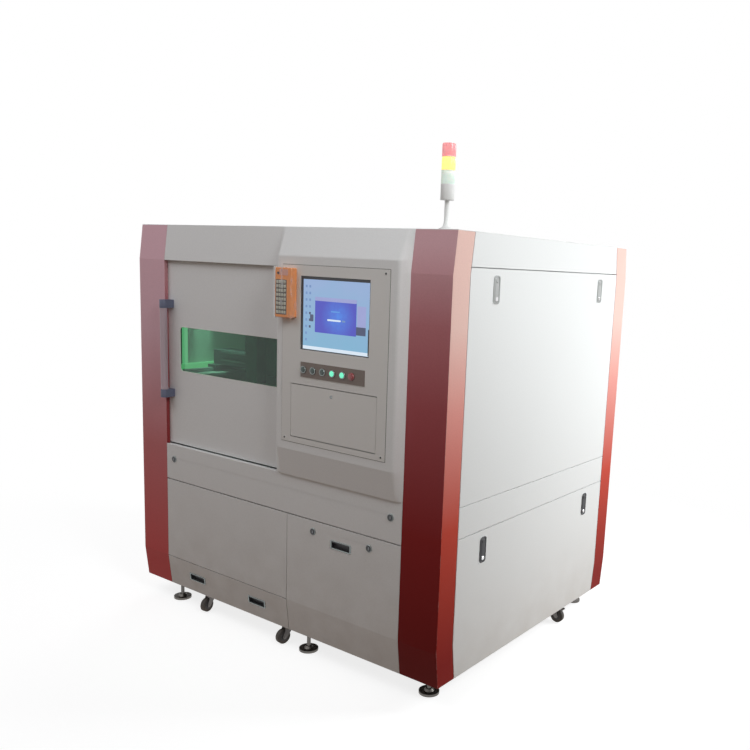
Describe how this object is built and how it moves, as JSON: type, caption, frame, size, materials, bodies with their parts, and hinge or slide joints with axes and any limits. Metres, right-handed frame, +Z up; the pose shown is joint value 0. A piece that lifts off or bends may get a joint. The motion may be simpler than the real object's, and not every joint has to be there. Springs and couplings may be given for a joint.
{
  "type": "laser cutting machine",
  "caption": "Enclosed sheet-metal laser cutting machine with a sliding door, a console with a screen, side service panels and a signal tower.",
  "frame": {"origin": "on the floor under the middle of the cabinet", "axes": "+X to the right seen from the front, +Y to the back, +Z up"},
  "size_m": [1.7455, 1.516, 2.0269],
  "materials": {
    "panel": "fine textured powder coat, warm light grey",
    "post_red": "textured powder coat, brick red",
    "plate": "satin powder coat, light grey",
    "frame": "satin grey enamel",
    "liner": "matt grey enamel",
    "cases": "painted equipment cases",
    "green_acrylic": "laser-safe green acrylic",
    "handle": "dark blue-grey, half gloss",
    "slats": "bare steel, scorched",
    "screen": "black display with a lit panel",
    "strip": "dark brown-grey anodised strip",
    "caps_dark": "unlit green caps",
    "caps_green": "lit green caps",
    "caps_red": "red cap",
    "black_plastic": "matt black",
    "keypad": "orange housing in a clear sleeve",
    "tower_grey": "light grey",
    "tower_lens": "ribbed coloured lenses",
    "chrome": "polished",
    "lever": "satin grey",
    "zinc": "zinc plated",
    "gantry": "clear anodised",
    "cutter": "black anodised",
    "fork": "zinc plated",
    "tyre": "black rubber"
  },
  "bodies": {
    "machine": {"machine_frame": "frame", "front_left_post": "post_red", "front_right_post": "post_red", "rear_posts": "post_red", "front_fascia": "panel", "roof_panel": "panel", "left_side_panels": "panel", "right_side_frame": "panel", "rear_panel": "panel", "lower_left_panel": "panel", "chamber_liner": "liner", "slag_hopper": "liner", "bed_frame": "frame", "bed_slats": "slats", "console_housing": "panel", "console_plate": "plate", "monitor": "screen", "control_strip": "strip", "remote_keypad": "keypad", "tower_pole": "tower_grey", "tower_lenses": "tower_lens", "laser_source": "cases", "control_cabinet": "cases", "levelling_feet": "zinc"},
    "door": {"door_panel": "panel", "door_window": "green_acrylic", "door_handle": "handle"},
    "drawer": {"waste_drawer": "panel"},
    "flap": {"keyboard_flap": "plate", "keyboard": "black_plastic"},
    "band": {"band_panel": "panel"},
    "service": {"service_panel": "panel"},
    "upper_side": {"right_upper_panel": "panel"},
    "lower_side": {"right_lower_panel": "panel"},
    "gantry": {"gantry_beam": "gantry"},
    "carriage": {"head_carriage": "gantry"},
    "cutter": {"cutting_head": "cutter"},
    "button_1_cap": {"button_1": "caps_dark"},
    "button_2_cap": {"button_2": "caps_dark"},
    "button_3_cap": {"button_3": "caps_dark"},
    "button_4_cap": {"button_4": "caps_green"},
    "button_5_cap": {"button_5": "caps_green"},
    "button_6_cap": {"button_6": "caps_red"},
    "band_left_lock_barrel": {"band_left_lock": "chrome"},
    "band_right_lock_barrel": {"band_right_lock": "chrome"},
    "service_left_lock_barrel": {"service_left_lock": "chrome"},
    "service_right_lock_barrel": {"service_right_lock": "chrome"},
    "upper_front_latch_lever": {"upper_front_latch": "lever"},
    "upper_rear_latch_lever": {"upper_rear_latch": "lever"},
    "lower_front_latch_lever": {"lower_front_latch": "lever"},
    "lower_rear_latch_lever": {"lower_rear_latch": "lever"},
    "front_left_swivel": {"front_left_caster_fork": "fork"},
    "front_left_wheel": {"front_left_caster_wheel": "tyre"},
    "front_middle_swivel": {"front_middle_caster_fork": "fork"},
    "front_middle_wheel": {"front_middle_caster_wheel": "tyre"},
    "rear_right_swivel": {"rear_right_caster_fork": "fork"},
    "rear_right_wheel": {"rear_right_caster_wheel": "tyre"},
    "rear_left_swivel": {"rear_left_caster_fork": "fork"},
    "rear_left_wheel": {"rear_left_caster_wheel": "tyre"}
  },
  "joints": [
    {"name": "door_slide", "type": "slide", "parent": "machine", "child": "door", "axis": [1, 0, 0], "range_m": [0, 0.64]},
    {"name": "drawer_slide", "type": "slide", "parent": "machine", "child": "drawer", "axis": [0, -1, 0], "range_m": [0, 0.75]},
    {"name": "flap_hinge", "type": "hinge", "parent": "machine", "child": "flap", "pos_m": [0.362, -0.7254, 0.9336], "axis": [1, 0, 0], "range_deg": [0, 90]},
    {"name": "button_1_press", "type": "slide", "parent": "machine", "child": "button_1_cap", "axis": [0, 1, 0], "range_m": [0, 0.004], "stiffness_N_per_m": 400},
    {"name": "button_2_press", "type": "slide", "parent": "machine", "child": "button_2_cap", "axis": [0, 1, 0], "range_m": [0, 0.004], "stiffness_N_per_m": 400},
    {"name": "button_3_press", "type": "slide", "parent": "machine", "child": "button_3_cap", "axis": [0, 1, 0], "range_m": [0, 0.004], "stiffness_N_per_m": 400},
    {"name": "button_4_press", "type": "slide", "parent": "machine", "child": "button_4_cap", "axis": [0, 1, 0], "range_m": [0, 0.004], "stiffness_N_per_m": 400},
    {"name": "button_5_press", "type": "slide", "parent": "machine", "child": "button_5_cap", "axis": [0, 1, 0], "range_m": [0, 0.004], "stiffness_N_per_m": 400},
    {"name": "button_6_press", "type": "slide", "parent": "machine", "child": "button_6_cap", "axis": [0, 1, 0], "range_m": [0, 0.004], "stiffness_N_per_m": 400},
    {"name": "band_lift_off", "type": "slide", "parent": "machine", "child": "band", "axis": [0, -1, 0], "range_m": [0, 0.3]},
    {"name": "service_lift_off", "type": "slide", "parent": "machine", "child": "service", "axis": [0, -1, 0], "range_m": [0, 0.3]},
    {"name": "upper_side_lift_off", "type": "slide", "parent": "machine", "child": "upper_side", "axis": [1, 0, 0], "range_m": [0, 0.3]},
    {"name": "lower_side_lift_off", "type": "slide", "parent": "machine", "child": "lower_side", "axis": [1, 0, 0], "range_m": [0, 0.3]},
    {"name": "band_left_lock_turn", "type": "hinge", "parent": "band", "child": "band_left_lock_barrel", "pos_m": [-0.638, -0.698, 0.694], "axis": [0, 1, 0], "range_deg": [0, 90]},
    {"name": "band_right_lock_turn", "type": "hinge", "parent": "band", "child": "band_right_lock_barrel", "pos_m": [0.638, -0.698, 0.694], "axis": [0, -1, 0], "range_deg": [0, 90]},
    {"name": "service_left_lock_turn", "type": "hinge", "parent": "service", "child": "service_left_lock_barrel", "pos_m": [0.243, -0.698, 0.551], "axis": [0, 1, 0], "range_deg": [0, 90]},
    {"name": "service_right_lock_turn", "type": "hinge", "parent": "service", "child": "service_right_lock_barrel", "pos_m": [0.538, -0.698, 0.551], "axis": [0, -1, 0], "range_deg": [0, 90]},
    {"name": "upper_front_latch_lift", "type": "hinge", "parent": "upper_side", "child": "upper_front_latch_lever", "pos_m": [0.868, -0.425, 1.573], "axis": [0, -1, 0], "range_deg": [0, 30]},
    {"name": "upper_rear_latch_lift", "type": "hinge", "parent": "upper_side", "child": "upper_rear_latch_lever", "pos_m": [0.868, 0.425, 1.573], "axis": [0, -1, 0], "range_deg": [0, 30]},
    {"name": "lower_front_latch_lift", "type": "hinge", "parent": "lower_side", "child": "lower_front_latch_lever", "pos_m": [0.868, -0.425, 0.591], "axis": [0, -1, 0], "range_deg": [0, 30]},
    {"name": "lower_rear_latch_lift", "type": "hinge", "parent": "lower_side", "child": "lower_rear_latch_lever", "pos_m": [0.868, 0.425, 0.591], "axis": [0, -1, 0], "range_deg": [0, 30]},
    {"name": "gantry_slide", "type": "slide", "parent": "machine", "child": "gantry", "axis": [0, 1, 0], "range_m": [-0.08, 0.8]},
    {"name": "carriage_slide", "type": "slide", "parent": "gantry", "child": "carriage", "axis": [1, 0, 0], "range_m": [-0.23, 0.67]},
    {"name": "cutter_slide", "type": "slide", "parent": "carriage", "child": "cutter", "axis": [0, 0, 1], "range_m": [-0.045, 0.03]},
    {"name": "front_left_caster_swivel", "type": "hinge", "parent": "machine", "child": "front_left_swivel", "pos_m": [-0.465, -0.633, 0.08], "axis": [0, 0, 1], "continuous": true},
    {"name": "front_left_caster_roll", "type": "hinge", "parent": "front_left_swivel", "child": "front_left_wheel", "pos_m": [-0.46082, -0.66271, 0.033], "axis": [-0.9903, -0.1392, 0], "continuous": true},
    {"name": "front_middle_caster_swivel", "type": "hinge", "parent": "machine", "child": "front_middle_swivel", "pos_m": [0.045, -0.633, 0.08], "axis": [0, 0, 1], "continuous": true},
    {"name": "front_middle_caster_roll", "type": "hinge", "parent": "front_middle_swivel", "child": "front_middle_wheel", "pos_m": [0.04083, -0.66271, 0.033], "axis": [-0.9903, 0.1392, 0], "continuous": true},
    {"name": "rear_right_caster_swivel", "type": "hinge", "parent": "machine", "child": "rear_right_swivel", "pos_m": [0.806, 0.311, 0.08], "axis": [0, 0, 1], "continuous": true},
    {"name": "rear_right_caster_roll", "type": "hinge", "parent": "rear_right_swivel", "child": "rear_right_wheel", "pos_m": [0.836, 0.311, 0.033], "axis": [0, -1, 0], "continuous": true},
    {"name": "rear_left_caster_swivel", "type": "hinge", "parent": "machine", "child": "rear_left_swivel", "pos_m": [-0.806, 0.311, 0.08], "axis": [0, 0, 1], "continuous": true},
    {"name": "rear_left_caster_roll", "type": "hinge", "parent": "rear_left_swivel", "child": "rear_left_wheel", "pos_m": [-0.836, 0.311, 0.033], "axis": [0, 1, 0], "continuous": true}
  ]
}
